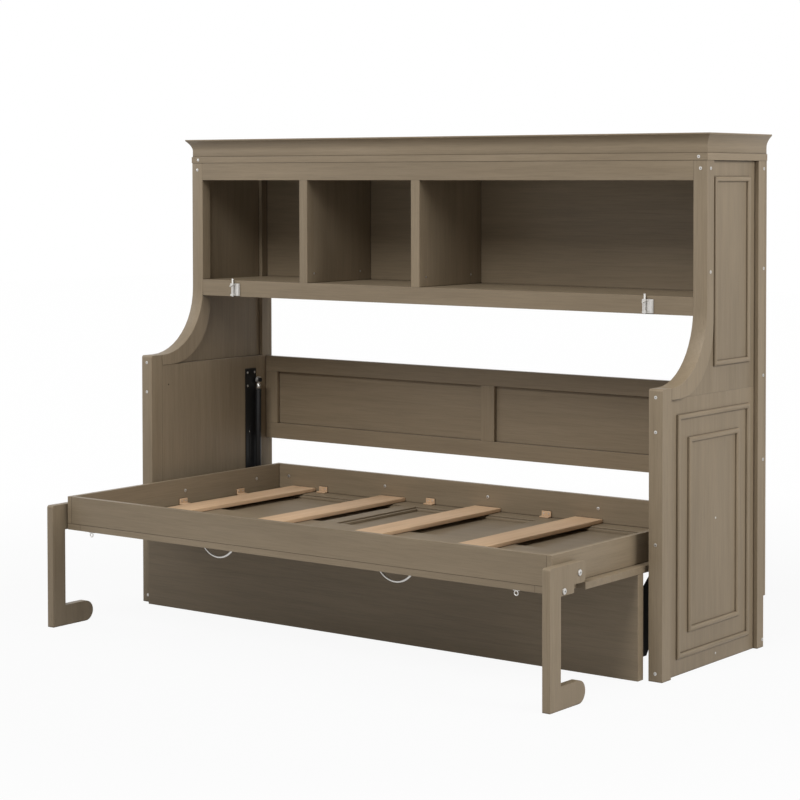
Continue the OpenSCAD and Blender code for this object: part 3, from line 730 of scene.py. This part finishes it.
# Cabinet screws: plated heads with a slight dome and a hexagon socket, driven through the
# posts and the frieze into the boards behind them.
CABINET_HEAD = {"Radius": 0.0052, "Height": 0.0012, "Socket radius": 0.0022}
HEAD_SIDES = 20
SOCKET_SIDES = 6
DOME_SHARE = 0.5
HEAD_WELD = 1e-6
OUT = {"-x": Vector((-1, 0, 0)), "+x": Vector((1, 0, 0)), "-y": Vector((0, -1, 0)), "+y": Vector((0, 1, 0))}


def screw_heads(name, places, body, head, material=zinc, replaced=()):
    """Sets a head at each place, a point on a surface and the way it faces."""
    jig = Jig(name, head)
    circle = "GeometryNodeCurvePrimitiveCircle"
    rim = jig.add(circle, {"Radius": jig.given["Radius"]}, {"Resolution": HEAD_SIDES})
    hexagon = jig.add(circle, {"Radius": jig.given["Socket radius"]}, {"Resolution": SOCKET_SIDES})
    face = jig.add("GeometryNodeFillCurve", {"Curve": jig.joined(rim[0], hexagon[0])})
    thick = jig.add("GeometryNodeExtrudeMesh", {"Mesh": face[0], "Offset Scale": jig.given["Height"]},
                    {"Individual": False})
    place = jig.add("ShaderNodeSeparateXYZ", {"Vector": jig.add("GeometryNodeInputPosition")[0]})
    out = jig.add("ShaderNodeVectorMath", {0: jig.vector(X=place["X"], Y=place["Y"])}, operation="LENGTH")
    share = jig.calc("POWER", jig.calc("DIVIDE", out["Value"], jig.given["Radius"]), 2.0)
    fall = jig.calc("MULTIPLY", jig.calc("MULTIPLY", share, -DOME_SHARE), jig.given["Height"])
    domed = jig.add("GeometryNodeSetPosition", {"Geometry": thick["Mesh"], "Selection": thick["Top"],
                                                "Offset": jig.vector(Z=fall)})
    under = jig.add("GeometryNodeFlipFaces", {"Mesh": face[0]})
    bottom = jig.add("GeometryNodeMeshCircle", {"Radius": jig.given["Socket radius"]},
                     {"Vertices": SOCKET_SIDES}, fill_type="NGON")
    closed = jig.add("GeometryNodeMergeByDistance", {"Geometry": jig.joined(domed[0], under[0], bottom[0])},
                     {"Distance": HEAD_WELD})
    facing = jig.add("GeometryNodeInputNamedAttribute", values={"Name": "outward"}, data_type="FLOAT_VECTOR")
    turn = jig.add("FunctionNodeAlignRotationToVector", {"Vector": facing[0]}, axis="Z")
    heads = jig.add("GeometryNodeInstanceOnPoints", {"Points": jig.given["Geometry"],
                                                     "Instance": closed[0], "Rotation": turn[0]})
    points = bpy.data.meshes.new(name + "_points")
    points.from_pydata([place for place, way in places], [], [])
    ways = points.attributes.new("outward", "FLOAT_VECTOR", "POINT")
    for item, (place, way) in zip(ways.data, places):
        item.vector = OUT[way]
    mesh = jig.make(heads[0], material, name, points)
    return stand_in(mesh, name, list(replaced), body)


def islands(node):
    """The lowest and highest corners of each separate solid of a CAD part."""
    work = bmesh.new()
    work.from_mesh(frame["nodes"][node].data)
    bmesh.ops.remove_doubles(work, verts=work.verts, dist=WELD)
    number_boards(work, node)
    layer = work.verts.layers.float["board"]
    solids = {}
    for vert in work.verts:
        solids.setdefault(vert[layer], []).append(vert.co.copy())
    work.free()
    return [tuple(Vector([end(p[i] for p in ps) for i in range(3)]) for end in (min, max))
            for ps in solids.values()]


places = []
for low, high in islands("cabinet_bolts"):
    middle = (low + high) / 2
    if high.y - low.y < high.x - low.x:
        places.append(((middle.x, high.y, middle.z), "-y"))
    elif middle.x > 0:
        places.append(((low.x, middle.y, middle.z), "+x"))
    else:
        places.append(((high.x, middle.y, middle.z), "-x"))
screw_heads("cabinet_screws", places, "cabinet", CABINET_HEAD, replaced=["cabinet_bolts"])


# Bed rail screws: larger plated heads on the inner faces of the four rails, a little above
# the slats.
RAIL_HEAD = {"Radius": 0.0060, "Height": 0.0018, "Socket radius": 0.0022}
RAIL_SCREW_Z = 0.393
RAIL_SCREWS_X = (-0.920, -0.460, 0.0, 0.460, 0.920)
RAIL_SCREWS_Y = (0.035, 0.412)
back_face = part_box("bed_back_rail")[0][1]
front_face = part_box("bed_front_rail")[1][1]
left_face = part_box("bed_end_rail_left")[1][0]
right_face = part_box("bed_end_rail_right")[0][0]
places = []
for x in RAIL_SCREWS_X:
    places.append(((x, back_face, RAIL_SCREW_Z), "-y"))
    places.append(((x, front_face, RAIL_SCREW_Z), "+y"))
for y in RAIL_SCREWS_Y:
    places.append(((left_face, y, RAIL_SCREW_Z), "+x"))
    places.append(((right_face, y, RAIL_SCREW_Z), "-x"))
screw_heads("bed_rail_screws", places, "bed", RAIL_HEAD)


# Divider screws: small heads near the corners of the shelf dividers, on both faces, each in
# line with the one behind it.
DIVIDER_HEAD = {"Radius": 0.0036, "Height": 0.0008, "Socket radius": 0.0015}
DIVIDER_SCREWS = ((0.232, 1.172), (0.486, 1.172), (0.232, 1.506), (0.486, 1.506))
places = []
for board in DIVIDERS:
    low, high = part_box(board)
    for y, z in DIVIDER_SCREWS:
        places.append(((high[0], y, z), "+x"))
        places.append(((low[0], y, z), "-x"))
screw_heads("divider_screws", places, "cabinet", DIVIDER_HEAD)


# Strut plate screws: four heads hold each black plate, with its gas strut, to the back of a
# side panel.
PLATE_HEAD = {"Radius": 0.0042, "Height": 0.0016, "Socket radius": 0.0018}
PLATE_T = 0.004
PLATE_SCREWS = ((0.431, 0.782), (0.470, 0.782), (0.431, 0.733), (0.443, 0.562))
plate_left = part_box("strut_plate_left")[0][0] + PLATE_T
plate_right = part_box("strut_plate_right")[1][0] - PLATE_T
places = []
for y, z in PLATE_SCREWS:
    places.append(((plate_left, y, z), "+x"))
    places.append(((plate_right, y, z), "-x"))
screw_heads("strut_plate_screws", places, "cabinet", PLATE_HEAD)


# Strut pins and necks: a dark pin in the middle of each gas strut's eye, and a plated neck,
# as stout as the end of the tube, that carries the eye.
PIN_HEAD = {"Radius": 0.0066, "Height": 0.0008, "Socket radius": 0.001}
EYE_R = 0.012
EYE_T = 0.010
NECK_R = 0.0078
NECK_TOP_R = 0.75 * NECK_R
NECK_H = 0.023
NECK_SIDES = 24
for side, way in (("left", "+x"), ("right", "-x")):
    low, high = (Vector(p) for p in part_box("strut_tube_" + side))
    body = body_of_node["strut_tube_" + side]
    eye = Vector(((low.x + high.x) / 2, high.y - EYE_R, high.z - EYE_R))
    pin = eye + OUT[way] * EYE_T / 2
    screw_heads("strut_pin_" + side, [(pin, way)], body, PIN_HEAD, powder_coat, ())
    neck = bmesh.new()
    made = bmesh.ops.create_cone(neck, cap_ends=True, segments=NECK_SIDES, radius1=NECK_R,
                                 radius2=NECK_TOP_R, depth=NECK_H)
    foot = Vector((eye.x, eye.y, high.z - EYE_REACH + NECK_H / 2))
    bmesh.ops.translate(neck, verts=made["verts"], vec=foot)
    for face in neck.faces:
        face.smooth = len(face.verts) == 4
    collar = bpy.data.meshes.new("strut_neck_" + side)
    neck.to_mesh(collar)
    neck.free()
    collar.materials.append(zinc)
    stand_in(collar, "strut_neck_" + side, [], body)


# Angle screws: two small heads on the upright face of each wooden angle, driven into the
# rail behind it.
ANGLE_HEAD = {"Radius": 0.0026, "Height": 0.0006, "Socket radius": 0.0011}
ANGLE_T = 0.005
ANGLE_SCREW_Z = 0.0135
ANGLE_SCREW_SPREAD = 0.010
places = []
for low, high in islands("rail_blocks"):
    middle = (low + high) / 2
    z = low.z + ANGLE_SCREW_Z
    for step in (-ANGLE_SCREW_SPREAD, ANGLE_SCREW_SPREAD):
        if high.x - low.x > high.y - low.y:
            back = middle.y > 0
            y = high.y - ANGLE_T if back else low.y + ANGLE_T
            places.append(((middle.x + step, y, z), "-y" if back else "+y"))
        else:
            right = middle.x > 0
            x = high.x - ANGLE_T if right else low.x + ANGLE_T
            places.append(((x, middle.y + step, z), "-x" if right else "+x"))
screw_heads("angle_screws", places, "bed", ANGLE_HEAD)


# Leg bolts: socket caps on the pivot bolts and lock bolts, flush with the outside of the legs.
# The lock bolt's cap folds with its leg, and the pivot bolt's cap stays on the bed.
LEG_HEAD = {"Radius": 0.0068, "Height": 0.0016, "Socket radius": 0.003}
for side, way in (("left", "-x"), ("right", "+x")):
    places = []
    for low, high in islands("leg_bolts"):
        middle = (low + high) / 2
        if middle.x * OUT[way].x > 0:
            middle.x = low.x if way == "-x" else high.x
            places.append((middle, way))
    screw_heads("pivot_cap_" + side, places, "bed", LEG_HEAD)
    low, high = (Vector(p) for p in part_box("lock_bolt_" + side))
    middle = (low + high) / 2
    middle.x = low.x if way == "-x" else high.x
    screw_heads("lock_cap_" + side, [(middle, way)], body_of_node["lock_bolt_" + side], LEG_HEAD)


# Side screws: small plated screws in each side panel, one over the fitting of the bed's pivot
# and one low down, and a dark wood plug on the inside.
SIDE_HEAD = {"Radius": 0.0034, "Height": 0.0008, "Socket radius": 0.001}
SIDE_SCREWS = ((0.276, 0.4515), (0.278, 0.028))
PLUG_HEAD = {"Radius": 0.003, "Height": 0.0004, "Socket radius": 0.0008}
PLUG_PLACE = (0.019, 0.770)
PLUG_TONES = {"dark": (0.05, 0.036, 0.022), "mid": (0.07, 0.05, 0.032), "light": (0.09, 0.065, 0.042)}
left_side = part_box("lower_side_left")
right_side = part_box("lower_side_right")
places = []
for x, way in ((left_side[0][0], "-x"), (right_side[1][0], "+x")):
    places += [((x, y, z), way) for y, z in SIDE_SCREWS]
screw_heads("side_screws", places, "cabinet", SIDE_HEAD)

plug_wood = wood("plug_wood", "z", PLUG_TONES, RAW_ROUGHNESS)
places = [((left_side[1][0], *PLUG_PLACE), "+x"), ((right_side[0][0], *PLUG_PLACE), "-x")]
screw_heads("side_plugs", places, "cabinet", PLUG_HEAD, plug_wood, ())


# Bed seams: thin dark bars on the front edge, between the front rail, the end rails, the floor
# and the floor's end boards, painted there as the shade in the gaps between the boards.
FLOOR_SEAM_X = 0.927
FLOOR_SEAM_SHARE = 0.9
RAIL_SEAM_SHARE = 0.97
SEAM_WIDE = 0.0010
SEAM_PROUD = 0.0001
floor_low, floor_high = (Vector(p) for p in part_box("bed_floor"))
rail_low, rail_high = (Vector(p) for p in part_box("bed_front_rail"))
end_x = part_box("bed_end_rail_right")[1][0]
floor_middle = (floor_low.z + floor_high.z) / 2
rail_middle = (rail_low.z + rail_high.z) / 2
floor_seam = FLOOR_SEAM_SHARE * (floor_high.z - floor_low.z)
rail_seam = RAIL_SEAM_SHARE * (rail_high.z - rail_low.z)
seam_shade_bars = [(0, floor_high.z, 2 * end_x, SEAM_WIDE)]
for sign in (-1, 1):
    seam_shade_bars.append((sign * FLOOR_SEAM_X, floor_middle, SEAM_WIDE, floor_seam))
    seam_shade_bars.append((sign * rail_high.x, rail_middle, SEAM_WIDE, rail_seam))
seams = bmesh.new()
for x, z, wide, tall in seam_shade_bars:
    made = bmesh.ops.create_cube(seams, size=1)
    bmesh.ops.scale(seams, verts=made["verts"], vec=(wide, 2 * SEAM_PROUD, tall))
    bmesh.ops.translate(seams, verts=made["verts"], vec=(x, rail_low.y, z))
seam_shade_mesh = bpy.data.meshes.new("bed_seam_shade")
seams.to_mesh(seam_shade_mesh)
seams.free()
# The dark plug wood on these bars is painted shade.
seam_shade_mesh.materials.append(plug_wood)
stand_in(seam_shade_mesh, "bed_seam_shade", [], "bed")
